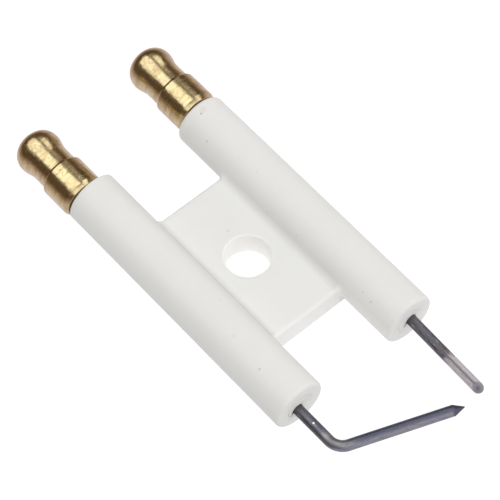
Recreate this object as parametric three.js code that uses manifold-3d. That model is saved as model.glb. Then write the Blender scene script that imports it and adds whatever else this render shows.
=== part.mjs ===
// A twin spark electrode that lights a gas or oil burner.
//
// Two ceramic tubes lie side by side, joined by a web with a screw hole. A metal rod runs
// through each tube. At the front one rod is bent across towards the other, and the spark
// jumps between its point and the straight rod's end. At the rear each rod ends in a brass
// snap terminal for the high-tension lead.
//
// Millimetres. The origin is the centre of the screw hole, on the web's underside.
// +Y runs along the tubes towards the spark gap, +X points to the bent rod's tube,
// and +Z points up, out of the web's top.

import * as THREE from 'three';
import { mergeVertices } from 'three/addons/utils/BufferGeometryUtils.js';
import Module from 'manifold-3d';

const wasm = await Module();
wasm.setup();

// ---------------------------------------------------------------- driving dimensions

// Ceramic body
const TUBE_RADIUS = 3.75;
const TUBE_LENGTH = 41.3;
const TUBE_SPACING = 18.65; // from one tube's axis to the other's
const FRONT_EDGE_RADIUS = 0.4;
const BORE_RADIUS = 1.8;
const WEB_LENGTH = 22.9; // along the tubes
const WEB_THICKNESS = 4.1;
const WEB_EDGE_RADIUS = 0.5;
const WEB_FILLET_RADIUS = 0.9; // where the web's top meets each tube
const SCREW_HOLE_RADIUS = 3.1;

// Rods
const ROD_RADIUS = 0.75;
const ROD_IN_TERMINAL = 7.6; // how far each rod goes in behind the ceramic
const KNEE_FORWARD = 7.42; // from the ceramic's front to where the bent rod's two legs would meet
const KNEE_RADIUS = 2.2; // of the rod's centre line
const KNEE_ANGLE = THREE.MathUtils.degToRad(69);
const SPARK_LEG_LENGTH = 17.07; // from where the legs would meet to the point
const POINT_LENGTH = 1.5;
const STRAIGHT_ROD_REACH = 12.8; // from the ceramic's front to the middle of the cut end
const STRAIGHT_ROD_LEAN = 0.03; // sideways per unit forward, towards the bent rod
const END_CUT_UP = THREE.MathUtils.degToRad(37); // how far the cut end is turned to face up
const END_CUT_ACROSS = THREE.MathUtils.degToRad(17); // and towards the bent rod's tube

// Brass terminals, measured back from the mouth that faces the ceramic
const TERMINAL_MOUTH_RADIUS = 2.9;
const SLEEVE_RADIUS = 3.2;
const BEVEL_END = 0.68;
const SLEEVE_END = 4.78;
const NECK_START = 5.13;
const NECK_RADIUS = 2.8;
const NECK_END = 7.35;
const KNOB_RADIUS = 3.2;
const KNOB_WIDEST = 9.55;
const TERMINAL_LENGTH = 12.13;
const DOME_SQUARENESS = 2.23; // 2 is a plain ellipse, more is flatter

// Cement
const CEMENT_DEPTH = 4;
const BOND_GAP = 0.05; // left open between two pieces that are bonded together

// Sides of the round surfaces
const TUBE_SIDES = 64;
const HOLE_SIDES = 48;
const TERMINAL_SIDES = 48;
const ROD_SIDES = 24;

// ---------------------------------------------------------------- derived places

const TUBE_X = TUBE_SPACING / 2;
const AXIS_HEIGHT = TUBE_RADIUS; // the tubes' undersides are flush with the web's
const FRONT = TUBE_LENGTH / 2;
const REAR = -TUBE_LENGTH / 2;
const ROD_END = REAR - ROD_IN_TERMINAL;

// Each rod sits a little off its tube's axis, as it was cemented. The offsets are
// sideways and up, where the rod leaves the ceramic at its rear and at its front. The
// tubes' rear ends aren't alike: rearForward is how far an end is short of REAR at its
// middle, and rearSlope how far it leans forward per unit sideways and up. The terminals
// aren't pushed on equally far.
const BENT_SIDE = {
  name: 'bent',
  tubeX: TUBE_X,
  rearEdgeRadius: 0.2,
  rearForward: 0.1,
  rearSlope: [0.035, 0.06],
  terminalGap: 0.15,
  rearOffset: [0.75, -0.25],
  frontOffset: [0.4, -0.25],
};
const STRAIGHT_SIDE = {
  name: 'straight',
  tubeX: -TUBE_X,
  rearEdgeRadius: 0.5,
  rearForward: 0,
  rearSlope: [0, 0],
  terminalGap: 0.4,
  rearOffset: [-0.2, 0.15],
  frontOffset: [-0.2, 0.15],
};

// ---------------------------------------------------------------- solids and meshes

// Turns a closed three.js geometry into a solid that can be cut and joined.
function toSolid(geometry) {
  const bare = geometry.clone();
  bare.deleteAttribute('normal');
  bare.deleteAttribute('uv');
  const merged = mergeVertices(bare);
  const corners = [];
  for (let i = 0; i < merged.index.count; i += 3) {
    const [a, b, c] = [merged.index.getX(i), merged.index.getX(i + 1), merged.index.getX(i + 2)];
    if (a !== b && b !== c && c !== a) {
      corners.push(a, b, c);
    }
  }
  const vertProperties = new Float32Array(merged.attributes.position.array);
  const triVerts = new Uint32Array(corners);
  return new wasm.Manifold(new wasm.Mesh({ numProp: 3, vertProperties, triVerts }));
}

function toGeometry(solid) {
  const { vertProperties, triVerts } = solid.getMesh();
  const geometry = new THREE.BufferGeometry();
  geometry.setAttribute('position', new THREE.BufferAttribute(vertProperties, 3));
  geometry.setIndex(new THREE.BufferAttribute(triVerts, 1));
  geometry.computeVertexNormals();
  return geometry;
}

// A solid turned about the Y axis from [radius, y] pairs that start and end on the axis.
function turned(profile, sides) {
  return new THREE.LatheGeometry(profile.map(([radius, y]) => new THREE.Vector2(radius, y)), sides);
}

function between(start, end, fraction) {
  return start + (end - start) * fraction;
}

// Passes every vertex of a geometry through the given moves, one after the other.
function reshaped(geometry, ...moves) {
  const position = geometry.attributes.position;
  const vertex = new THREE.Vector3();
  for (let i = 0; i < position.count; i += 1) {
    vertex.fromBufferAttribute(position, i);
    moves.forEach((move) => move(vertex));
    position.setXYZ(i, vertex.x, vertex.y, vertex.z);
  }
  geometry.computeVertexNormals();
  return geometry;
}

// [radius, y] pairs of a quarter circle that rounds a turned solid's edge, from angle
// `from` to angle `to`, about the centre `edgeRadius` inside the rim.
function roundedEdge(rimRadius, edgeRadius, centreY, from, to) {
  const steps = 4;
  return Array.from({ length: steps + 1 }, (_, i) => {
    const angle = between(from, to, i / steps);
    return [rimRadius - edgeRadius + edgeRadius * Math.cos(angle), centreY + edgeRadius * Math.sin(angle)];
  });
}

// ---------------------------------------------------------------- ceramic body

function tube({ tubeX, rearEdgeRadius, rearForward, rearSlope }) {
  const rearEdge = roundedEdge(TUBE_RADIUS, rearEdgeRadius, REAR + rearEdgeRadius, -Math.PI / 2, 0);
  const frontEdge = roundedEdge(TUBE_RADIUS, FRONT_EDGE_RADIUS, FRONT - FRONT_EDGE_RADIUS, 0, Math.PI / 2);
  const square = turned([[0, REAR], ...rearEdge, ...frontEdge, [0, FRONT]], TUBE_SIDES);
  const cut = reshaped(square, (vertex) => {
    if (vertex.y < 0) {
      vertex.y += rearForward + rearSlope[0] * vertex.x + rearSlope[1] * vertex.z;
    }
  });
  return cut.translate(tubeX, 0, AXIS_HEIGHT);
}

// The web cut across the tubes, with x across and y up. It runs to the middle of each
// tube, and a fillet touches both its top and the tube's side.
function webSection() {
  const filletY = WEB_THICKNESS + WEB_FILLET_RADIUS;
  const aboveAxis = filletY - AXIS_HEIGHT;
  const toAxis = TUBE_RADIUS + WEB_FILLET_RADIUS;
  const filletX = TUBE_X - Math.sqrt(toAxis ** 2 - aboveAxis ** 2);
  const tilt = Math.asin(aboveAxis / toAxis);
  const touchY = filletY - WEB_FILLET_RADIUS * Math.sin(tilt);
  const section = new THREE.Shape();
  section.moveTo(-TUBE_X, 0);
  section.lineTo(TUBE_X, 0);
  section.lineTo(TUBE_X, touchY);
  section.absarc(filletX, filletY, WEB_FILLET_RADIUS, -tilt, -Math.PI / 2, true);
  section.absarc(-filletX, filletY, WEB_FILLET_RADIUS, -Math.PI / 2, tilt - Math.PI, true);
  section.lineTo(-TUBE_X, touchY);
  return section;
}

function web() {
  const geometry = new THREE.ExtrudeGeometry(webSection(), {
    depth: WEB_LENGTH - 2 * WEB_EDGE_RADIUS,
    bevelThickness: WEB_EDGE_RADIUS,
    bevelSize: WEB_EDGE_RADIUS,
    bevelOffset: -WEB_EDGE_RADIUS,
    bevelSegments: 4,
    curveSegments: 6,
  });
  geometry.translate(0, 0, WEB_EDGE_RADIUS - WEB_LENGTH / 2);
  return geometry.rotateX(Math.PI / 2);
}

function screwHole() {
  const through = 4 * WEB_THICKNESS;
  const geometry = new THREE.CylinderGeometry(SCREW_HOLE_RADIUS, SCREW_HOLE_RADIUS, through, HOLE_SIDES);
  return geometry.rotateX(Math.PI / 2);
}

function bore() {
  return new THREE.CylinderGeometry(BORE_RADIUS, BORE_RADIUS, 2 * TUBE_LENGTH, HOLE_SIDES);
}

function ceramicBody() {
  let body = toSolid(web());
  for (const side of [BENT_SIDE, STRAIGHT_SIDE]) {
    body = body.add(toSolid(tube(side)));
  }
  for (const { tubeX } of [BENT_SIDE, STRAIGHT_SIDE]) {
    body = body.subtract(toSolid(bore().translate(tubeX, 0, AXIS_HEIGHT)));
  }
  return toGeometry(body.subtract(toSolid(screwHole())));
}

// ---------------------------------------------------------------- rods

const KNEE_START = FRONT + KNEE_FORWARD - KNEE_RADIUS * Math.tan(KNEE_ANGLE / 2);
const KNEE_LENGTH = KNEE_RADIUS * KNEE_ANGLE;
const SPARK_LEG_STRAIGHT = SPARK_LEG_LENGTH - KNEE_RADIUS * Math.tan(KNEE_ANGLE / 2);

// Where a straight rod's vertex goes once the rod is bent towards -X from y = KNEE_START.
function bendVertex(vertex) {
  const past = vertex.y - KNEE_START;
  if (past <= 0) {
    return;
  }
  const angle = Math.min(past / KNEE_RADIUS, KNEE_ANGLE);
  const beyond = Math.max(past - KNEE_LENGTH, 0);
  const arm = KNEE_RADIUS + vertex.x;
  vertex.x = arm * Math.cos(angle) - KNEE_RADIUS - beyond * Math.sin(angle);
  vertex.y = KNEE_START + arm * Math.sin(angle) + beyond * Math.cos(angle);
}

// Leans the straight rod's free end, and turns its cut face up and across: its lower side
// reaches forward and its upper side back. Only the end's own vertices lie beyond the ceramic.
function endVertex(vertex) {
  if (vertex.y > FRONT) {
    vertex.y -= vertex.z * Math.tan(END_CUT_UP) + vertex.x * Math.tan(END_CUT_ACROSS);
    vertex.x += (vertex.y - FRONT) * STRAIGHT_ROD_LEAN;
  }
}

// Moves a rod that was made about the Y axis to its place in the ceramic.
function seatVertex(vertex, side) {
  const along = THREE.MathUtils.clamp((vertex.y - REAR) / TUBE_LENGTH, 0, 1);
  vertex.x += side.tubeX + between(side.rearOffset[0], side.frontOffset[0], along);
  vertex.z += AXIS_HEIGHT + between(side.rearOffset[1], side.frontOffset[1], along);
}

function bentRod() {
  const kneeSteps = 10;
  const tip = KNEE_START + KNEE_LENGTH + SPARK_LEG_STRAIGHT;
  const profile = [[0, ROD_END], [ROD_RADIUS, ROD_END], [ROD_RADIUS, REAR], [ROD_RADIUS, FRONT]];
  for (let i = 0; i <= kneeSteps; i += 1) {
    profile.push([ROD_RADIUS, KNEE_START + (KNEE_LENGTH * i) / kneeSteps]);
  }
  profile.push([ROD_RADIUS, tip - POINT_LENGTH], [0, tip]);
  return reshaped(turned(profile, ROD_SIDES), bendVertex, (vertex) => seatVertex(vertex, BENT_SIDE));
}

function straightRod() {
  const end = FRONT + STRAIGHT_ROD_REACH;
  const profile = [
    [0, ROD_END],
    [ROD_RADIUS, ROD_END],
    [ROD_RADIUS, REAR],
    [ROD_RADIUS, FRONT],
    [ROD_RADIUS, end],
    [0, end],
  ];
  return reshaped(turned(profile, ROD_SIDES), endVertex, (vertex) => seatVertex(vertex, STRAIGHT_SIDE));
}

// The stretch of a rod that lies in the ceramic, fatter by the gap to the cement.
function rodClearance(side) {
  const radius = ROD_RADIUS + BOND_GAP;
  const profile = [
    [0, ROD_END],
    [radius, ROD_END],
    [radius, REAR],
    [radius, FRONT],
    [radius, KNEE_START],
    [0, KNEE_START],
  ];
  return reshaped(turned(profile, ROD_SIDES), (vertex) => seatVertex(vertex, side));
}

// ---------------------------------------------------------------- terminals

// The knob swells out of the neck in a smooth S, and closes in a flattened dome.
function knobProfile() {
  const swellSteps = 8;
  const domeSteps = 12;
  const profile = [];
  for (let i = 0; i <= swellSteps; i += 1) {
    const back = i / swellSteps;
    const swell = THREE.MathUtils.smoothstep(back, 0, 1);
    profile.push([between(NECK_RADIUS, KNOB_RADIUS, swell), between(NECK_END, KNOB_WIDEST, back)]);
  }
  for (let i = 1; i < domeSteps; i += 1) {
    const angle = (Math.PI / 2) * (i / domeSteps);
    const radius = KNOB_RADIUS * Math.cos(angle) ** (2 / DOME_SQUARENESS);
    const back = Math.sin(angle) ** (2 / DOME_SQUARENESS);
    profile.push([radius, between(KNOB_WIDEST, TERMINAL_LENGTH, back)]);
  }
  profile.push([0, TERMINAL_LENGTH]);
  return profile;
}

// A blind bore takes the rod. The profile starts at the bore's bottom, comes out round
// the mouth, and runs back over the sleeve, neck and knob.
function terminal(side) {
  const socketRadius = ROD_RADIUS + BOND_GAP;
  const socketEnd = ROD_IN_TERMINAL + BOND_GAP - side.terminalGap;
  const fromMouth = [
    [0, socketEnd],
    [socketRadius, socketEnd],
    [socketRadius, 0],
    [TERMINAL_MOUTH_RADIUS, 0],
    [SLEEVE_RADIUS, BEVEL_END],
    [SLEEVE_RADIUS, SLEEVE_END],
    [NECK_RADIUS, NECK_START],
    ...knobProfile(),
  ];
  const mouth = REAR - side.terminalGap;
  const profile = fromMouth.reverse().map(([radius, back]) => [radius, mouth - back]);
  return reshaped(turned(profile, TERMINAL_SIDES), (vertex) => seatVertex(vertex, side));
}

// ---------------------------------------------------------------- cement

function cementPlug(side, start) {
  const radius = BORE_RADIUS - BOND_GAP;
  const plug = new THREE.CylinderGeometry(radius, radius, CEMENT_DEPTH, HOLE_SIDES);
  plug.translate(side.tubeX, start + CEMENT_DEPTH / 2, AXIS_HEIGHT);
  return toGeometry(toSolid(plug).subtract(toSolid(rodClearance(side))));
}

// ---------------------------------------------------------------- the assembly

const MATERIALS = {
  ceramic: { color: 0xf1eee8, roughness: 0.55, metalness: 0 },
  brass: { color: 0xd8b36a, roughness: 0.22, metalness: 1 },
  rod: { color: 0x5f5b64, roughness: 0.38, metalness: 1 },
  cement: { color: 0xe2dccd, roughness: 0.9, metalness: 0 },
};

function addPiece(group, name, geometry, finish) {
  const mesh = new THREE.Mesh(geometry, new THREE.MeshStandardMaterial(MATERIALS[finish]));
  mesh.name = name;
  group.add(mesh);
}

const electrode = new THREE.Group();
addPiece(electrode, 'ceramic_body', ceramicBody(), 'ceramic');
addPiece(electrode, 'electrode_rod_bent', bentRod(), 'rod');
addPiece(electrode, 'electrode_rod_straight', straightRod(), 'rod');
for (const side of [BENT_SIDE, STRAIGHT_SIDE]) {
  addPiece(electrode, `terminal_${side.name}`, terminal(side), 'brass');
  addPiece(electrode, `cement_front_${side.name}`, cementPlug(side, FRONT - CEMENT_DEPTH), 'cement');
  addPiece(electrode, `cement_rear_${side.name}`, cementPlug(side, REAR), 'cement');
}

export default electrode;
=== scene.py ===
"""A twin spark ignition electrode lying on a white table.

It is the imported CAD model, with fine surfaces and materials.
"""

import math

import bpy
import numpy as np
from mathutils import Matrix, Vector


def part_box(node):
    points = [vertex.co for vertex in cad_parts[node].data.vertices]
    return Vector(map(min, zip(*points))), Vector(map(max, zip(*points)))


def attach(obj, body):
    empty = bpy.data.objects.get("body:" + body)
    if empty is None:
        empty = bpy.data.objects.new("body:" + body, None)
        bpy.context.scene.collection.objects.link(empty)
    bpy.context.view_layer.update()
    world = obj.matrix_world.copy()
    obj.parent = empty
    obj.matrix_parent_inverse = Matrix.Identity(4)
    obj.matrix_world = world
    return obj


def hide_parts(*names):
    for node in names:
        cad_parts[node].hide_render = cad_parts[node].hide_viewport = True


MM = 0.001  # shapes are worked out in millimetres and made in metres

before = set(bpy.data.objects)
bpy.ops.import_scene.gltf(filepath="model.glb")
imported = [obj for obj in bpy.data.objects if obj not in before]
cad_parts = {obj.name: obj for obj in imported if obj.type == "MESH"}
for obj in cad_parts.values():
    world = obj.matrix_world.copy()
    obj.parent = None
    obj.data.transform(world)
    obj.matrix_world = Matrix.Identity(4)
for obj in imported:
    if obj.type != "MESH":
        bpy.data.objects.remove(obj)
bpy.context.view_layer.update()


# ---------------------------------------------------------------- sizes from the frame


def box_mm(node):
    low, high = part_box(node)
    return np.array(low) / MM, np.array(high) / MM


BODY_HIGH = box_mm("ceramic_body")[1]
TUBE_RADIUS = BODY_HIGH[2] / 2
TUBE_X = BODY_HIGH[0] - TUBE_RADIUS
FRONT = BODY_HIGH[1]
REAR = box_mm("cement_rear_straight")[0][1]
TUBE_LENGTH = FRONT - REAR

# The CAD model's own sizes that no node's box gives
FRONT_EDGE_RADIUS = 0.4
BORE_RADIUS = 1.8
WEB_LENGTH = 22.9
WEB_THICKNESS = 4.1
WEB_EDGE_RADIUS = 0.5
WEB_FILLET_RADIUS = 0.9
SCREW_HOLE_RADIUS = 3.1
ROD_RADIUS = 0.75
BOND_GAP = 0.05
KNEE_FORWARD = 7.42
KNEE_RADIUS = 2.2
KNEE_ANGLE = math.radians(69)
SPARK_LEG_LENGTH = 17.07
POINT_LENGTH = 1.5
STRAIGHT_ROD_REACH = 12.8
STRAIGHT_ROD_LEAN = 0.03
END_CUT_UP = math.radians(37)
END_CUT_ACROSS = math.radians(17)
CEMENT_DEPTH = 4.0

END_FACE_SHIFT = 5.0  # how far on the straight rod's cut face lies in its material's coordinates


class Side:
    """One tube's centre line, and where the rod in it runs: at the terminal and at the ceramic's front."""

    def __init__(self, name, tube_x, rear_edge_radius, rear_plane, front_offset):
        self.name = name
        self.rear_edge_radius = rear_edge_radius
        # How far the tube's end is short of REAR, and how far it leans per unit sideways and up
        self.rear_plane = rear_plane
        self.tube = np.array([tube_x, TUBE_RADIUS])
        low, high = box_mm(f"terminal_{name}")
        self.rear_axis = np.array([(low[0] + high[0]) / 2, (low[2] + high[2]) / 2])
        self.front_axis = self.tube + np.array(front_offset)
        self.terminal_gap = REAR - high[1]
        self.terminal_length = high[1] - low[1]
        self.rod_end = box_mm(f"electrode_rod_{name}")[0][1]

    def surface(self, y, lean, height=0.0):
        """A place on the tube, from straight up leaned towards +X by an angle in degrees."""
        turn = math.radians(lean)
        radius = TUBE_RADIUS + height
        return (self.tube[0] + radius * math.sin(turn), y, self.tube[1] + radius * math.cos(turn))

    def axis(self, y):
        """(x, z) of the rod's centre at y, inside the ceramic and the terminal."""
        along = np.clip((np.asarray(y) - REAR) / TUBE_LENGTH, 0, 1)
        return self.rear_axis + np.multiply.outer(along, self.front_axis - self.rear_axis)


BENT = Side("bent", TUBE_X, 0.2, (0.1, 0.035, 0.06), (0.4, -0.25))
STRAIGHT = Side("straight", -TUBE_X, 0.5, (0, 0, 0), (-0.2, 0.15))


# ---------------------------------------------------------------- camera


def add_camera():
    """The camera looks down on the web's top from the bent rod's front side."""
    azimuth = math.radians(139.228)
    elevation = math.radians(58.801)
    roll = math.radians(-0.281)
    distance = 337.197
    focal_pixels = 2610.237
    frame_pixels = 500
    aim_right = 0.484
    aim_up = 0.714
    aim = Vector((0, -0.3, TUBE_RADIUS))

    back = Vector(
        (
            math.sin(azimuth) * math.cos(elevation),
            -math.cos(azimuth) * math.cos(elevation),
            math.sin(elevation),
        )
    )
    level_right = Vector((math.cos(azimuth), math.sin(azimuth), 0))
    level_up = back.cross(level_right)
    right = math.cos(roll) * level_right + math.sin(roll) * level_up
    up = math.cos(roll) * level_up - math.sin(roll) * level_right
    place = aim + distance * back + aim_right * right + aim_up * up

    data = bpy.data.cameras.new("camera")
    data.sensor_width = 36
    data.lens = focal_pixels / frame_pixels * data.sensor_width
    data.clip_start = 0.01
    data.clip_end = 100
    camera = bpy.data.objects.new("camera", data)
    turn = Matrix((right, up, back)).transposed().to_4x4()
    camera.matrix_world = Matrix.Translation(place * MM) @ turn
    bpy.context.scene.collection.objects.link(camera)
    bpy.context.scene.camera = camera


# ---------------------------------------------------------------- mesh helpers


def smoothstep(low, high, value):
    share = np.clip((value - low) / (high - low), 0, 1)
    return share * share * (3 - 2 * share)


def add_piece(name, points, faces, material, node, unbent=None):
    """A smooth-shaded piece from points in millimetres, which stands for a CAD node.

    unbent gives each point's place before the piece was bent, with its own axis on the Y axis.
    """
    mesh = bpy.data.meshes.new(name)
    mesh.from_pydata((np.asarray(points) * MM).tolist(), [], faces)
    if unbent is not None:
        places = mesh.attributes.new("unbent", "FLOAT_VECTOR", "POINT")
        places.data.foreach_set("vector", (np.asarray(unbent) * MM).ravel())
    mesh.shade_smooth()
    mesh.materials.append(material)
    mesh.validate()
    piece = bpy.data.objects.new(name, mesh)
    bpy.context.scene.collection.objects.link(piece)
    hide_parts(node)
    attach(piece, "root")
    return piece


def skin(rings, closed_ends=True, joined=False):
    """Points and faces of a tube through rings of points. joined makes it a closed loop of rings."""
    count, sides = len(rings), len(rings[0])
    points = np.concatenate(rings)
    faces = []
    for i in range(count if joined else count - 1):
        here, there = i * sides, (i + 1) % count * sides
        for j in range(sides):
            k = (j + 1) % sides
            faces.append((here + j, here + k, there + k, there + j))
    if closed_ends and not joined:
        first, last = len(points), len(points) + 1
        points = np.concatenate([points, [rings[0].mean(axis=0)], [rings[-1].mean(axis=0)]])
        end = (count - 1) * sides
        for j in range(sides):
            k = (j + 1) % sides
            faces.append((k, j, first))
            faces.append((end + j, end + k, last))
    return points, faces


def ring(centre, across, up, radius, sides):
    """Points round a centre. across and up are unit vectors; radius may differ from point to point."""
    angles = 2 * math.pi * np.arange(sides) / sides
    spokes = np.outer(np.cos(angles), across) + np.outer(np.sin(angles), up)
    return np.asarray(centre) + spokes * np.reshape(radius, (-1, 1))


def rounded(corners, steps=5):
    """A (radius, back) outline with corners given as (radius, back, rounding), each rounded by a curve."""
    outline = []
    for i, (r, b, rounding) in enumerate(corners):
        here = np.array([r, b])
        if rounding == 0:
            outline.append(here)
            continue
        before = np.array(corners[i - 1][:2]) - here
        after = np.array(corners[i + 1][:2]) - here
        start = here + before / np.linalg.norm(before) * rounding
        end = here + after / np.linalg.norm(after) * rounding
        for t in np.linspace(0, 1, steps + 1):
            outline.append((1 - t) ** 2 * start + 2 * t * (1 - t) * here + t**2 * end)
    return np.array(outline)


# ---------------------------------------------------------------- materials


class Nodes:
    """Short ways to write a material's nodes."""

    def __init__(self, name):
        self.material = bpy.data.materials.new(name)
        self.material.use_nodes = True
        self.tree = self.material.node_tree
        self.tree.nodes.clear()
        output = self.tree.nodes.new("ShaderNodeOutputMaterial")
        self.shader = self.tree.nodes.new("ShaderNodeBsdfPrincipled")
        self.tree.links.new(self.shader.outputs[0], output.inputs["Surface"])
        self.place = self.tree.nodes.new("ShaderNodeTexCoord").outputs["Object"]

    def follow(self, attribute):
        """Takes places from a mesh attribute from here on, rather than object coordinates."""
        node = self.tree.nodes.new("ShaderNodeAttribute")
        node.attribute_name = attribute
        self.place = node.outputs["Vector"]

    def axis(self, letter):
        """One coordinate of the place, in metres."""
        node = self.tree.nodes.new("ShaderNodeSeparateXYZ")
        self.plug(node.inputs[0], self.place)
        return node.outputs[letter]

    def plug(self, socket, value):
        if isinstance(value, bpy.types.NodeSocket):
            self.tree.links.new(value, socket)
        elif value is not None:
            socket.default_value = value

    def scaled(self, scale, shift=(0, 0, 0)):
        """The place in metres, times a scale on each axis, and shifted."""
        node = self.tree.nodes.new("ShaderNodeMapping")
        self.plug(node.inputs["Vector"], self.place)
        node.inputs["Scale"].default_value = scale
        node.inputs["Location"].default_value = shift
        return node.outputs[0]

    def noise(self, scale, detail=4.0, rough=0.5, shift=(0, 0, 0)):
        """Noise from 0 to 1. scale is the number of lumps per metre, on each axis or on all."""
        node = self.tree.nodes.new("ShaderNodeTexNoise")
        scales = scale if isinstance(scale, tuple) else (scale, scale, scale)
        self.plug(node.inputs["Vector"], self.scaled(scales, shift))
        node.inputs["Scale"].default_value = 1
        node.inputs["Detail"].default_value = detail
        node.inputs["Roughness"].default_value = rough
        return node.outputs["Fac"]

    def ramp(self, value, low, high, bottom=0.0, top=1.0):
        """Goes smoothly from bottom to top as the value goes from low to high."""
        node = self.tree.nodes.new("ShaderNodeMapRange")
        node.interpolation_type = "SMOOTHSTEP"
        self.plug(node.inputs["Value"], value)
        self.plug(node.inputs["From Min"], low)
        self.plug(node.inputs["From Max"], high)
        self.plug(node.inputs["To Min"], bottom)
        self.plug(node.inputs["To Max"], top)
        return node.outputs[0]

    def math(self, operation, a, b=None):
        node = self.tree.nodes.new("ShaderNodeMath")
        node.operation = operation
        self.plug(node.inputs[0], a)
        self.plug(node.inputs[1], b)
        return node.outputs[0]

    def mix(self, share, a, b):
        """Colour a where share is 0, and b where it is 1."""
        node = self.tree.nodes.new("ShaderNodeMix")
        node.data_type = "RGBA"
        self.plug(node.inputs["Factor"], share)
        self.plug(node.inputs["A"], a if isinstance(a, bpy.types.NodeSocket) else (*a, 1))
        self.plug(node.inputs["B"], b if isinstance(b, bpy.types.NodeSocket) else (*b, 1))
        return node.outputs["Result"]

    def spot(self, centre, radius, blur=0.5):
        """1 at a place in millimetres, falling to 0 at the radius."""
        node = self.tree.nodes.new("ShaderNodeVectorMath")
        node.operation = "DISTANCE"
        self.plug(node.inputs[0], self.place)
        node.inputs[1].default_value = Vector(centre) * MM
        return self.ramp(node.outputs["Value"], radius * MM * (1 - blur), radius * MM, 1.0, 0.0)

    def spot_across(self, centre, radius):
        """1 along a line parallel to Y through (x, z) in millimetres, falling to 0 at the radius."""
        flat = self.tree.nodes.new("ShaderNodeVectorMath")
        flat.operation = "MULTIPLY"
        self.plug(flat.inputs[0], self.place)
        flat.inputs[1].default_value = (1, 0, 1)
        away = self.tree.nodes.new("ShaderNodeVectorMath")
        away.operation = "DISTANCE"
        self.plug(away.inputs[0], flat.outputs[0])
        away.inputs[1].default_value = Vector((centre[0], 0, centre[1])) * MM
        return self.ramp(away.outputs["Value"], 0.0, radius * MM, 1.0, 0.0)

    def spot_across_hole(self, radius):
        """1 well inside a cylinder about the Z axis, of that radius in millimetres, and 0 outside it."""
        blur = 0.3
        flat = self.tree.nodes.new("ShaderNodeVectorMath")
        flat.operation = "MULTIPLY"
        self.plug(flat.inputs[0], self.place)
        flat.inputs[1].default_value = (1, 1, 0)
        away = self.tree.nodes.new("ShaderNodeVectorMath")
        away.operation = "LENGTH"
        self.plug(away.inputs[0], flat.outputs[0])
        return self.ramp(away.outputs["Value"], (radius - blur) * MM, radius * MM, 1.0, 0.0)

    def bump(self, height, depth, before=None):
        """A bump of that depth in millimetres, on top of another bump."""
        node = self.tree.nodes.new("ShaderNodeBump")
        node.inputs["Distance"].default_value = depth * MM
        self.plug(node.inputs["Height"], height)
        self.plug(node.inputs["Normal"], before)
        return node.outputs[0]

    def finish(self, **sockets):
        """Sets the shader's sockets, each named with _ for a space, and gives the material."""
        for name, value in sockets.items():
            label = name.replace("_", " ")
            if label == "Base Color" and not isinstance(value, bpy.types.NodeSocket):
                value = (*value, 1)
            self.plug(self.shader.inputs[label], value)
        return self.material


def ceramic_material():
    """Unglazed white ceramic: faint clouding, fine grain, a few dark specks and handling marks.

    Its tone differs a little by place: painted shade on the bent side's outer flank, painted light in
    the screw hole and on the web's front end, and warmer at the rear rims. The web end's painted light
    stops short of the tubes on its lower half, and also reaches a strip of each tube's inner flank before
    the web.
    """
    n = Nodes("ceramic")
    colour = n.mix(n.noise(120, 3), (0.718, 0.738, 0.730), (0.744, 0.764, 0.756))
    specks = n.ramp(n.noise(900, 1, 0.4), 0.77, 0.81)
    colour = n.mix(n.math("MULTIPLY", specks, 0.25), colour, (0.45, 0.41, 0.36))
    # Painted shade: the bent tube's outer flank is darker.
    painted_shade_flank = n.ramp(n.axis("X"), (TUBE_X + 1.5) * MM, (TUBE_X + TUBE_RADIUS) * MM, 0.0, 0.12)
    colour = n.mix(painted_shade_flank, colour, (0.30, 0.30, 0.31))
    # Painted light: the screw hole's wall is lighter.
    painted_light_hole_wall = n.spot_across_hole(SCREW_HOLE_RADIUS + 0.3)
    colour = n.mix(n.math("MULTIPLY", painted_light_hole_wall, 0.8), colour, (0.97, 0.97, 0.955))
    # Painted light: the web's front end, and a strip of each tube's inner flank before it, are lighter.
    painted_light_web_end_start = (WEB_LENGTH / 2 - 0.5) * MM
    painted_light_web_end = n.ramp(n.axis("Y"), painted_light_web_end_start, painted_light_web_end_start + 0.4 * MM)
    between_tubes = n.ramp(n.math("ABSOLUTE", n.axis("X")), 5.5 * MM, 5.9 * MM, 1.0, 0.0)
    painted_light_web_end = n.math("MULTIPLY", between_tubes, painted_light_web_end)
    colour = n.mix(n.math("MULTIPLY", painted_light_web_end, 0.5), colour, (0.93, 0.92, 0.91))
    rear_rim = n.ramp(n.axis("Y"), (REAR + 0.05) * MM, (REAR + 0.45) * MM, 0.30, 0.0)
    colour = n.mix(rear_rim, colour, (0.85, 0.60, 0.48))
    grey = (0.30, 0.30, 0.29)
    brown = (0.55, 0.47, 0.36)
    marks = [
        (STRAIGHT.surface(-19.04, 14), 0.22, 0.7, grey),
        (STRAIGHT.surface(-19.3, 5), 0.75, 0.22, brown),
        (STRAIGHT.surface(-15.77, 46.5), 0.18, 0.6, grey),
        (STRAIGHT.surface(16.4, 50), 0.20, 0.5, grey),
        (STRAIGHT.surface(14.7, 47), 0.20, 0.4, brown),
        (BENT.surface(14.8, 25), 0.20, 0.5, grey),
        (BENT.surface(9.2, 15), 0.45, 0.12, brown),
    ]
    for centre, radius, strength, tone in marks:
        share = n.math("MULTIPLY", n.spot(centre, radius, 0.8), strength)
        colour = n.mix(share, colour, tone)
    grain = n.noise(9000, 3, 0.6)
    lumps = n.noise(700, 3, 0.5)
    normal = n.bump(grain, 0.006, n.bump(lumps, 0.05))
    rough = n.ramp(n.noise(300, 3), 0.3, 0.7, 0.5, 0.65)
    return n.finish(Base_Color=colour, Roughness=rough, Normal=normal, Specular_IOR_Level=0.25)


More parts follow.
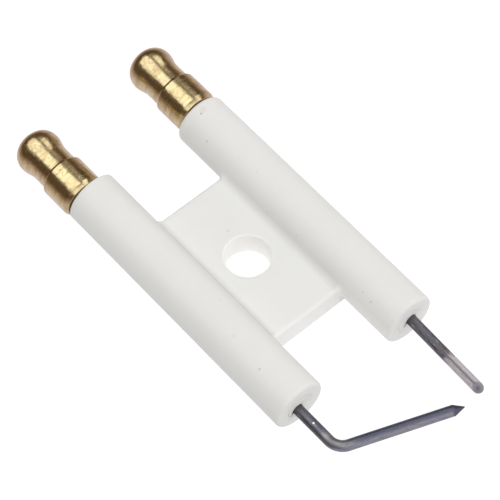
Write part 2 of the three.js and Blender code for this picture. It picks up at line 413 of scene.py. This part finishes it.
def brass_material():
    """Turned brass: tool lines round it, brown tarnish in patches, pits, and scuffs on each knob."""
    n = Nodes("brass")
    tarnish = n.noise((420, 1100, 420), 4, 0.62)
    colour = n.mix(n.ramp(tarnish, 0.42, 0.62), (0.66, 0.57, 0.32), (0.57, 0.46, 0.25))
    red = n.ramp(n.noise(260, 3, 0.6, (3.1, 0.4, 1.7)), 0.5, 0.68)
    colour = n.mix(n.math("MULTIPLY", red, 0.25), colour, (0.58, 0.42, 0.28))
    tool_lines = n.noise((90, 3600, 90), 4, 0.7)
    colour = n.mix(n.math("MULTIPLY", n.ramp(tool_lines, 0.48, 0.68), 0.3), colour, (0.36, 0.25, 0.13))
    pits = n.ramp(n.noise(3400, 3, 0.6), 0.60, 0.70)
    colour = n.mix(n.math("MULTIPLY", pits, 0.5), colour, (0.26, 0.17, 0.10))
    for side in (BENT, STRAIGHT):
        worn_place = (side.rear_axis[0] + 1.2, REAR - 9.0, side.rear_axis[1] + 2.9)
        scuffed = n.ramp(n.noise((2600, 3600, 2600), 3, 0.7), 0.40, 0.60)
        scuffs = n.math("MULTIPLY", n.spot(worn_place, 1.9, 0.6), scuffed)
        colour = n.mix(n.math("MULTIPLY", scuffs, 0.55), colour, (0.42, 0.33, 0.20))
    dents = n.noise(1500, 3, 0.6)
    normal = n.bump(tool_lines, 0.012, n.bump(pits, -0.008, n.bump(dents, 0.03)))
    rough = n.ramp(tarnish, 0.3, 0.75, 0.15, 0.26)
    return n.finish(Base_Color=colour, Metallic=1.0, Roughness=rough, Normal=normal)


def rod_material(name, near, far, change_start, change_end, end_start, end_colour, mottle):
    """Drawn heat-resisting wire, from one colour near the ceramic to another at the spark gap.

    The colour changes between two distances along the rod, and again at its worked end.
    mottle is how strongly the oxide is streaked, from 0 to 1.
    """
    n = Nodes(name)
    n.follow("unbent")
    along = n.axis("Y")
    streaks = n.noise((3800, 900, 3800), 4, 0.65)
    wander = n.math("MULTIPLY", n.math("SUBTRACT", streaks, 0.5), 4 * MM * mottle)
    border = n.math("ADD", along, wander)
    colour = n.mix(n.ramp(border, change_start * MM, change_end * MM), near, far)
    tint = n.ramp(n.noise((900, 200, 900), 3, 0.6), 0.42, 0.64)
    colour = n.mix(n.math("MULTIPLY", tint, 0.3), colour, (0.155, 0.175, 0.30))
    brown = n.ramp(n.noise((800, 260, 800), 3, 0.6, (2.3, 0.9, 4.1)), 0.54, 0.68)
    colour = n.mix(n.math("MULTIPLY", brown, 0.2), colour, (0.24, 0.19, 0.16))
    oxide = n.ramp(streaks, 0.50, 0.66)
    colour = n.mix(n.math("MULTIPLY", oxide, 0.65 * mottle), colour, (0.05, 0.05, 0.06))
    bare = n.ramp(n.noise((4600, 800, 4600), 4, 0.65, (5.2, 1.1, 0.6)), 0.53, 0.66)
    colour = n.mix(n.math("MULTIPLY", bare, 0.75 * mottle), colour, (0.52, 0.50, 0.52))
    # Painted shade: the rod is darker where it leaves the ceramic.
    mouth = n.ramp(along, (FRONT + 0.1) * MM, (FRONT + 1.6) * MM, 0.55, 0.0)
    colour = n.mix(mouth, colour, (0.08, 0.08, 0.09))
    worked = n.ramp(along, end_start * MM, (end_start + 0.5) * MM, 0.0, 0.8)
    colour = n.mix(worked, colour, end_colour)
    scratches = n.noise((6000, 400, 6000), 3, 0.6)
    normal = n.bump(scratches, 0.008, n.bump(n.noise(2500, 3, 0.6), 0.012 + 0.02 * mottle))
    return n, colour, normal, border


def bent_rod_material():
    """Grey oxidised wire, dark blue past the knee but for the outer side of the bend, partly heat tint and
    partly painted shade, with a rubbed patch and a bright ding.
    """
    knee = FRONT + KNEE_FORWARD
    tip = knee + SPARK_LEG_LENGTH + KNEE_RADIUS * (KNEE_ANGLE - 2 * math.tan(KNEE_ANGLE / 2))
    grey, lighter, dark_blue = (0.165, 0.172, 0.19), (0.31, 0.325, 0.35), (0.075, 0.075, 0.125)
    n, colour, normal, _ = rod_material(
        "rod_bent", grey, lighter, knee - 3.5, knee + 1, tip - 1.35 * POINT_LENGTH, dark_blue, 0.5
    )
    # Past the knee, all but the outer side of the bend turns dark blue: partly heat tint, partly painted
    # shade.
    heat_tint_and_shade_side = n.ramp(n.axis("X"), 0.3 * ROD_RADIUS * MM, 0.8 * ROD_RADIUS * MM, 0.85, 0.0)
    heat_tint_and_shade = n.math("MULTIPLY", heat_tint_and_shade_side, n.ramp(n.axis("Y"), knee * MM, (knee + 3) * MM))
    colour = n.mix(heat_tint_and_shade, colour, (0.105, 0.115, 0.18))
    rubbed = n.spot((0.2 * ROD_RADIUS, FRONT + 5.4, 0.95 * ROD_RADIUS), 0.9, 0.9)
    colour = n.mix(n.math("MULTIPLY", rubbed, 0.6), colour, (0.42, 0.43, 0.44))
    ding = n.spot((0.12 * ROD_RADIUS, FRONT + 3.1, 0.99 * ROD_RADIUS), 0.18, 0.6)
    colour = n.mix(ding, colour, (1.0, 1.0, 0.98))
    return n.finish(Base_Color=colour, Metallic=1.0, Roughness=0.46, Normal=normal)


def straight_rod_material():
    """Streaked grey wire, sanded bare at its end, with a painted dark reflection along its top and a dark
    cut face.
    """
    worn = FRONT + 0.57 * STRAIGHT_ROD_REACH
    grey, bare_grey, dark_blue = (0.195, 0.20, 0.215), (0.45, 0.43, 0.445), (0.22, 0.215, 0.25)
    end_face = FRONT + STRAIGHT_ROD_REACH + END_FACE_SHIFT / 2
    n, colour, normal, border = rod_material(
        "rod_straight", grey, bare_grey, worn - 0.3, worn + 0.5, end_face, dark_blue, 1.0
    )
    bare = n.ramp(border, (worn - 0.3) * MM, (worn + 0.5) * MM)
    sanded = n.mix(n.noise((5000, 900, 5000), 3, 0.6), (0.41, 0.395, 0.42), (0.60, 0.575, 0.61))
    on_side = n.ramp(n.axis("Y"), end_face * MM, (end_face + 0.1) * MM, 0.75, 0.0)
    colour = n.mix(n.math("MULTIPLY", bare, on_side), colour, sanded)
    # Painted reflection: a dark line along the rod's top, where dark surroundings would mirror.
    painted_dark_reflection_line = n.spot_across((0.33 * ROD_RADIUS, 0.94 * ROD_RADIUS), 0.42 * ROD_RADIUS)
    colour = n.mix(n.math("MULTIPLY", painted_dark_reflection_line, 0.9), colour, (0.12, 0.105, 0.13))
    core = n.spot_across((0.1 * ROD_RADIUS, -0.1 * ROD_RADIUS), 0.85 * ROD_RADIUS)
    colour = n.mix(n.math("MULTIPLY", core, 0.8), colour, (0.09, 0.09, 0.14))
    metal = n.math("SUBTRACT", 1.0, n.math("MULTIPLY", bare, 0.85))
    return n.finish(Base_Color=colour, Metallic=metal, Roughness=0.5, Normal=normal)


def cement_material():
    """White furnace cement, grainy, with a painted shadow and brown stains on one side of the rod."""
    n = Nodes("cement")
    colour = n.mix(n.ramp(n.noise(1500, 3), 0.4, 0.7), (0.76, 0.775, 0.755), (0.72, 0.73, 0.71))
    for side in (BENT, STRAIGHT):
        x, z = side.front_axis
        # Painted shadow: a dark patch on the cement beside the rod.
        painted_shadow_by_rod = n.spot((x + 1.25 * ROD_RADIUS, FRONT, z - 0.1), 0.34, 0.5)
        colour = n.mix(n.math("MULTIPLY", painted_shadow_by_rod, 0.85), colour, (0.08, 0.07, 0.07))
        stain = n.spot((x + 1.3 * ROD_RADIUS, FRONT, z - 0.8 * ROD_RADIUS), 0.5, 0.8)
        colour = n.mix(n.math("MULTIPLY", stain, 0.6), colour, (0.34, 0.26, 0.20))
    normal = n.bump(n.noise(4000, 4, 0.7), 0.02)
    return n.finish(Base_Color=colour, Roughness=0.7, Normal=normal, Specular_IOR_Level=0.25)


# ---------------------------------------------------------------- ceramic body


def round_union(a, b, radius):
    """The distance to two joined shapes, with a fillet of that radius where they meet."""
    within = np.hypot(np.maximum(radius - a, 0), np.maximum(radius - b, 0))
    return np.maximum(radius, np.minimum(a, b)) - within


def round_cut(a, b, radius):
    """The distance to shape a with shape b cut out of it, and the cut's edge rounded."""
    within = np.hypot(np.maximum(radius + a, 0), np.maximum(radius - b, 0))
    return np.minimum(-radius, np.maximum(a, -b)) + within


def box_distance(out, edge):
    """The distance to a rounded box from how far each point is beyond its faces, one column a direction."""
    inner = out + np.reshape(edge, (-1, 1))
    outside = np.linalg.norm(np.maximum(inner, 0), axis=1)
    return outside + np.minimum(inner.max(axis=1), 0) - edge


def ceramic_distance(points):
    """Millimetres from points to the ceramic's surface, negative inside."""
    x, y, z = points.T
    radial = np.hypot(np.abs(x) - TUBE_X, z - TUBE_RADIUS)
    edge = np.full(len(x), FRONT_EDGE_RADIUS)
    beyond = y - FRONT
    for side in (BENT, STRAIGHT):
        forward, sideways, up = side.rear_plane
        rear = REAR + forward + sideways * (x - side.tube[0]) + up * (z - TUBE_RADIUS)
        here = (y < 0) & (x * side.tube[0] > 0)
        edge[here] = side.rear_edge_radius
        beyond[here] = (rear - y)[here]
    tubes = box_distance(np.column_stack([radial - TUBE_RADIUS, beyond]), edge)

    half = WEB_THICKNESS / 2
    faces = [np.abs(x) - TUBE_X, np.abs(y) - WEB_LENGTH / 2, np.abs(z - half) - half]
    web = box_distance(np.column_stack(faces), np.full(len(x), WEB_EDGE_RADIUS))
    fillet = WEB_FILLET_RADIUS * smoothstep(0.2 * WEB_THICKNESS, 0.8 * WEB_THICKNESS, z)
    body = round_union(tubes, web, fillet)

    bores = radial - BORE_RADIUS
    body = round_cut(body, bores, 0.06)
    screw_hole = np.hypot(x, y) - SCREW_HOLE_RADIUS
    return round_cut(body, screw_hole, 0.25)


def ceramic_slope(points, step=0.01):
    """How the distance to the ceramic changes along X, Y and Z at each point."""
    slope = np.empty_like(points)
    for axis in range(3):
        shift = np.zeros(3)
        shift[axis] = step
        ahead = ceramic_distance(points + shift)
        behind = ceramic_distance(points - shift)
        slope[:, axis] = (ahead - behind) / (2 * step)
    return slope


def add_ceramic(material):
    """The CAD node remeshed to an even grid, then every vertex moved onto the exact rounded surface."""
    grid_step = 0.2
    passes = 6
    least_slope = 0.25
    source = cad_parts["ceramic_body"]
    copy = bpy.data.objects.new("ceramic_grid", source.data.copy())
    copy.data.transform(Matrix.Scale(1 / MM, 4))
    bpy.context.scene.collection.objects.link(copy)
    remesh = copy.modifiers.new("grid", "REMESH")
    remesh.mode = "VOXEL"
    remesh.voxel_size = grid_step
    depsgraph = bpy.context.evaluated_depsgraph_get()
    grid = copy.evaluated_get(depsgraph).to_mesh()
    points = np.empty(len(grid.vertices) * 3)
    grid.vertices.foreach_get("co", points)
    points = points.reshape(-1, 3)
    faces = [tuple(face.vertices) for face in grid.polygons]
    bpy.data.objects.remove(copy)

    for _ in range(passes):
        slope = ceramic_slope(points)
        size = np.maximum((slope**2).sum(axis=1), least_slope)
        points -= slope * (ceramic_distance(points) / size)[:, None]
    return add_piece("ceramic", points, faces, material, "ceramic_body")


# ---------------------------------------------------------------- rods


def bent_rod_frame(s, side):
    """Centre, and direction across the rod in its bending plane, at length s. s is y up to the knee."""
    to_tangent = KNEE_RADIUS * math.tan(KNEE_ANGLE / 2)
    past = s - (FRONT + KNEE_FORWARD - to_tangent)
    if past <= 0:
        x, z = side.axis(s)
        return np.array([x, s, z]), np.array([1.0, 0, 0])
    x, z = side.front_axis
    angle = min(past / KNEE_RADIUS, KNEE_ANGLE)
    beyond = max(past - KNEE_RADIUS * KNEE_ANGLE, 0)
    across = np.array([math.cos(angle), math.sin(angle), 0])
    along = np.array([-math.sin(angle), math.cos(angle), 0])
    pivot = np.array([x - KNEE_RADIUS, s - past, z])
    return pivot + KNEE_RADIUS * across + beyond * along, across


def add_bent_rod(material):
    """The rod with the knee, swept along its centre line and closed by a slightly blunt point."""
    sides = 40
    side = BENT
    to_tangent = KNEE_RADIUS * math.tan(KNEE_ANGLE / 2)
    knee = FRONT + KNEE_FORWARD - to_tangent
    knee_end = knee + KNEE_RADIUS * KNEE_ANGLE
    tip = knee_end + SPARK_LEG_LENGTH - to_tangent
    cone = tip - POINT_LENGTH
    blunt = 0.09
    stations = np.concatenate(
        [
            np.linspace(side.rod_end, FRONT, 60),
            np.linspace(FRONT, knee, 30)[1:],
            np.linspace(knee, knee_end, 24)[1:],
            np.linspace(knee_end, cone, 60)[1:],
        ]
    )
    outline = [(s, ROD_RADIUS) for s in stations]
    for share in np.linspace(0, 1, 16)[1:]:
        outline.append((cone + share * (POINT_LENGTH - blunt), ROD_RADIUS + (blunt - ROD_RADIUS) * share))
    for angle in np.linspace(0, math.pi / 2, 5)[1:-1]:
        outline.append((tip - blunt + blunt * math.sin(angle), blunt * math.cos(angle)))
    rings = []
    unbent_rings = []
    up = np.array([0, 0, 1.0])
    for s, radius in outline:
        centre, across = bent_rod_frame(s, side)
        rings.append(ring(centre, across, up, radius, sides))
        unbent_rings.append(ring((0, s, 0), (1.0, 0, 0), up, radius, sides))
    points, faces = skin(rings)
    unbent = skin(unbent_rings)[0]
    return add_piece("rod_bent", points, faces, material, "electrode_rod_bent", unbent)


def add_straight_rod(material):
    """The rod without a knee, which leans a little and ends in an oblique cut."""
    sides = 40
    side = STRAIGHT
    end = FRONT + STRAIGHT_ROD_REACH
    rings = []
    across = np.array([1.0, 0, 0])
    up = np.array([0, 0, 1.0])
    edge = 0.06
    end_length = 1.0
    for s in np.linspace(side.rod_end, end - end_length, 120):
        x, z = side.axis(s)
        lean = max(s - FRONT, 0) * STRAIGHT_ROD_LEAN
        rings.append(ring((x + lean, s, z), across, up, ROD_RADIUS, sides))
    x, z = side.front_axis
    face_loops = 3
    for share, radius in ((0.3, 1), (0.6, 1), (0.85, 1), (0.96, 1), (1, 1 - edge), (1, 0.7), (1, 0.35)):
        s = end - end_length + share * end_length
        loop = ring((x + (s - FRONT) * STRAIGHT_ROD_LEAN, s, z), across, up, ROD_RADIUS * radius, sides)
        slope_up = (loop[:, 2] - z) * math.tan(END_CUT_UP)
        slope_across = (loop[:, 0] - loop[:, 0].mean()) * math.tan(END_CUT_ACROSS)
        loop[:, 1] -= (slope_up + slope_across) * share
        rings.append(loop)
    points, faces = skin(rings)
    unbent = points - [x, 0, z]
    unbent[:, 0] -= np.maximum(points[:, 1] - FRONT, 0) * STRAIGHT_ROD_LEAN
    unbent[-2 - face_loops * sides : -2, 1] += END_FACE_SHIFT
    unbent[-1, 1] += END_FACE_SHIFT
    return add_piece("rod_straight", points, faces, material, "electrode_rod_straight", unbent)


# ---------------------------------------------------------------- terminals


def terminal_outline(length):
    """(radius, distance behind the mouth) from the mouth to the dome's end."""
    mouth, sleeve, neck, knob = 2.9, 3.2, 2.8, 3.2
    bevel_end, sleeve_end, neck_start, neck_end, widest = 0.68, 4.78, 5.13, 7.35, 9.55
    squareness = 2.23
    corners = [
        (ROD_RADIUS + BOND_GAP, 0, 0),
        (mouth, 0, 0.08),
        (sleeve, bevel_end, 0.12),
        (sleeve, sleeve_end, 0.1),
        (neck, neck_start, 0.1),
        (neck, neck_end, 0),
    ]
    share = np.linspace(0, 1, 17)[1:]
    swell_radius = neck + (knob - neck) * smoothstep(0, 1, share)
    swell = np.column_stack([swell_radius, neck_end + (widest - neck_end) * share])
    angle = np.linspace(0, math.pi / 2, 25)[1:-1]
    dome_radius = knob * np.cos(angle) ** (2 / squareness)
    dome = np.column_stack([dome_radius, widest + (length - widest) * np.sin(angle) ** (2 / squareness)])
    return np.concatenate([rounded(corners), swell, dome])


def add_terminal(side, material):
    """One brass terminal, turned about its rod's rear end, with the rod's blind socket inside."""
    sides = 96
    socket = ROD_RADIUS + BOND_GAP
    mouth = REAR - side.terminal_gap
    socket_end = mouth - side.rod_end + BOND_GAP
    inside = np.array([(socket, socket_end), (socket, socket_end / 2)])
    outline = np.concatenate([inside, terminal_outline(side.terminal_length)])
    across = np.array([1.0, 0, 0])
    up = np.array([0, 0, 1.0])
    rings = []
    for radius, back in outline:
        centre = (side.rear_axis[0], mouth - back, side.rear_axis[1])
        rings.append(ring(centre, across, -up, radius, sides))
    points, faces = skin(rings)
    return add_piece(f"terminal_{side.name}", points, faces, material, f"terminal_{side.name}")


# ---------------------------------------------------------------- cement


def add_cement(side, place, material):
    """A plug that fills the bore round the rod, with an uneven outer face."""
    sides = 48
    steps = 14
    outward = 1 if place == "front" else -1
    face = FRONT if place == "front" else REAR
    rod = side.axis(face)
    across = np.array([1.0, 0, 0])
    up = np.array([0, 0, -1.0 * outward])
    inner_radius = ROD_RADIUS + BOND_GAP
    outer_radius = BORE_RADIUS - BOND_GAP
    lump_place = rod + np.array([1.75 * ROD_RADIUS, 0.1])
    lump_size = 0.4 * ROD_RADIUS

    def cap(y, smear=0.0, bumpy=0.0):
        inner = ring((rod[0], y, rod[1]), across, up, inner_radius, sides)
        outer = ring((side.tube[0], y, side.tube[1]), across, up, outer_radius + smear, sides)
        loops = [inner + (outer - inner) * share for share in (*np.linspace(0, 0.98, steps), 1)]
        for loop in loops:
            away = np.hypot(loop[:, 0] - lump_place[0], loop[:, 2] - lump_place[1])
            loop[:, 1] += outward * bumpy * np.exp(-((away / lump_size) ** 2))
        return loops

    proud = 0.01
    collar_y = face - outward * 0.15
    collar = ring((side.tube[0], collar_y, side.tube[1]), across, up, outer_radius, sides)
    rings = cap(face + outward * proud, smear=0.12, bumpy=0.2) + [collar]
    rings += cap(face - outward * CEMENT_DEPTH)[::-1]
    points, faces = skin(rings, joined=True)
    name = f"cement_{place}_{side.name}"
    return add_piece(name, points, faces, material, name)


# ---------------------------------------------------------------- studio


def add_cove():
    """A white table and the wall round it, which glow a little so that they stay white.

    The metal doesn't mirror them: it mirrors the world's tones instead.
    """
    n = Nodes("cove")
    material = n.finish(
        Base_Color=(0.1, 0.1, 0.1),
        Roughness=0.9,
        Specular_IOR_Level=0.0,
        Emission_Color=(1, 1, 1, 1),
        Emission_Strength=0.97,
    )
    reach, height, sides = 2500, 300, 64
    below = -0.02
    across, along = np.array([1.0, 0, 0]), np.array([0, 1.0, 0])
    foot = ring((0, 0, below), across, along, reach, sides)
    brim = ring((0, 0, height), across, along, reach, sides)
    points, faces = skin([foot, brim], closed_ends=False)
    mesh = bpy.data.meshes.new("cove")
    mesh.from_pydata((points * MM).tolist(), [], faces + [tuple(range(sides))])
    mesh.materials.append(material)
    cove = bpy.data.objects.new("cove", mesh)
    cove.visible_glossy = False
    bpy.context.scene.collection.objects.link(cove)


def add_area_light(name, place, aim, width, length, watts, mirrored=True):
    """A rectangular light. One that the metal doesn't mirror is faintly green-blue."""
    data = bpy.data.lights.new(name, "AREA")
    data.shape = "RECTANGLE"
    data.size = width
    data.size_y = length
    data.energy = watts
    data.color = (1, 1, 1) if mirrored else (0.94, 1.0, 0.99)
    light = bpy.data.objects.new(name, data)
    light.location = place
    light.rotation_mode = "QUATERNION"
    light.rotation_quaternion = (Vector(place) - Vector(aim)).to_track_quat("Z", "Y")
    light.visible_glossy = mirrored
    bpy.context.scene.collection.objects.link(light)


def add_world():
    """Dim surroundings, which turn pale towards the ground in the metal's reflections."""
    world = bpy.data.worlds.new("studio")
    world.use_nodes = True
    tree = world.node_tree
    tree.nodes.clear()
    output = tree.nodes.new("ShaderNodeOutputWorld")
    background = tree.nodes.new("ShaderNodeBackground")
    direction = tree.nodes.new("ShaderNodeTexCoord")
    height = tree.nodes.new("ShaderNodeVectorMath")
    height.operation = "DOT_PRODUCT"
    nearly_up = (0.15, -0.3, 1.0)
    height.inputs[1].default_value = nearly_up
    span = tree.nodes.new("ShaderNodeMapRange")
    lowest, highest = -1.0, 0.5
    span.inputs["From Min"].default_value = lowest
    span.inputs["From Max"].default_value = highest
    ramp = tree.nodes.new("ShaderNodeValToRGB")
    tree.links.new(direction.outputs["Generated"], height.inputs[0])
    tree.links.new(height.outputs["Value"], span.inputs["Value"])
    tree.links.new(span.outputs[0], ramp.inputs["Fac"])
    tree.links.new(ramp.outputs["Color"], background.inputs["Color"])
    tree.links.new(background.outputs[0], output.inputs["Surface"])
    tones = [
        (-0.53, (0.86, 0.80, 0.91)),
        (-0.20, (0.70, 0.60, 0.66)),
        (-0.02, (0.52, 0.42, 0.42)),
        (0.118, (0.38, 0.27, 0.21)),
        (0.32, (0.125, 0.08, 0.055)),
    ]
    stops = ramp.color_ramp.elements
    for _ in tones[2:]:
        stops.new(1.0)
    for stop, (level, tone) in zip(stops, tones):
        stop.position = (level - lowest) / (highest - lowest)
        stop.color = (*tone, 1)
    bpy.context.scene.world = world


def add_studio():
    """Softboxes and a card that show in the metal, and fill lights that don't."""
    add_world()
    add_cove()
    add_area_light("softbox", (0.17, -0.365, 0.5), (0.17, -0.365, 0.0), 0.56, 0.87, 2.45)
    add_area_light("front_softbox", (0.17, 0.31, 0.5), (0.17, 0.31, 0.0), 0.74, 0.30, 1.05)
    add_area_light("side_softbox", (-0.41, 0.2, 0.5), (-0.41, 0.2, 0.0), 0.36, 0.9, 1.4)
    add_area_light("dim_card", (-0.36, -0.26, 0.5), (-0.36, -0.26, 0.0), 0.33, 0.5, 0.13)
    centre = (0, 0, 0)
    add_area_light("front_card", (-0.15, 0.8, 0.36), centre, 1.4, 0.6, 1.9)
    add_area_light("top_fill", (0.0, 0.0, 0.9), centre, 0.6, 0.6, 1.15, mirrored=False)
    add_area_light("left_fill", (-0.8, 0.0, 0.4), centre, 0.6, 0.6, 0.25, mirrored=False)
    add_area_light("right_fill", (0.8, 0.1, 0.4), centre, 0.6, 0.6, 0.2, mirrored=False)
    settings = bpy.context.scene.view_settings
    settings.view_transform = "Standard"
    settings.look = "None"


# ---------------------------------------------------------------- the scene

add_camera()
add_ceramic(ceramic_material())
add_bent_rod(bent_rod_material())
add_straight_rod(straight_rod_material())
brass = brass_material()
cement = cement_material()
for one_side in (BENT, STRAIGHT):
    add_terminal(one_side, brass)
    add_cement(one_side, "front", cement)
    add_cement(one_side, "rear", cement)
add_studio()
